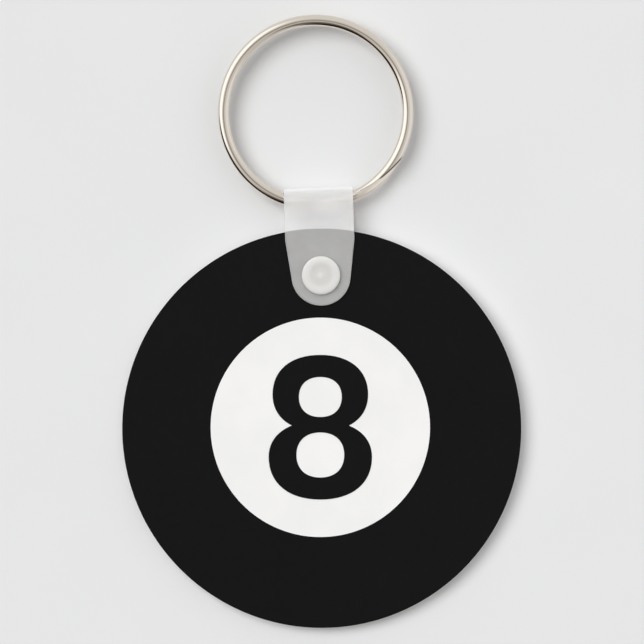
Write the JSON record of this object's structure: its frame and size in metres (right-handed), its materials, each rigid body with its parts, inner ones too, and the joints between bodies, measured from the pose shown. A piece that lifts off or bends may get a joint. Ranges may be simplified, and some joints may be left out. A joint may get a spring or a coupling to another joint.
{
  "type": "key ring tag",
  "caption": "Flat round printed key tag with a billiard-ball face, hung from a split key ring by a folded plastic snap strap.",
  "frame": {"origin": "centre of the disc's flat back face", "axes": "+Z out of the printed face, +Y from the disc's centre towards the key ring, +X to the right of the upright figure"},
  "size_m": [0.0572, 0.0878, 0.004],
  "materials": {
    "core_plate": "white plastic sheet, smooth",
    "print_black": "satin black printed ink",
    "print_white": "satin off-white printed ink",
    "strap": "translucent milky plastic",
    "snap": "translucent milky plastic, thicker",
    "ring_plate": "bright nickel plate, slightly warm"
  },
  "bodies": {
    "disc": {"core_plate": "core_plate", "print_field": "print_black", "print_spot": "print_white", "print_numeral": "print_black"},
    "strap_back": {"strap_back_leaf": "strap", "snap_socket": "snap", "strap_fold": "strap"},
    "strap_front": {"strap_front_leaf": "strap", "snap_stud": "snap"},
    "ring": {"split_ring": "ring_plate"}
  },
  "joints": [
    {"name": "strap_swivel", "type": "hinge", "parent": "disc", "child": "strap_back", "pos_m": [-0.0001, 0.02186, 0], "axis": [0, 0, 1], "range_deg": [-20, 20]},
    {"name": "strap_opening", "type": "hinge", "parent": "strap_back", "child": "strap_front", "pos_m": [-0.00051, 0.03428, 0.001], "axis": [-0.9995, -0.0332, 0], "range_deg": [0, 150], "deforming": ["strap_fold"]},
    {"name": "ring_swing", "type": "hinge", "parent": "strap_back", "child": "ring", "pos_m": [-0.00045, 0.03248, 0.001], "axis": [0.9995, 0.0332, 0], "range_deg": [-100, 100]}
  ]
}
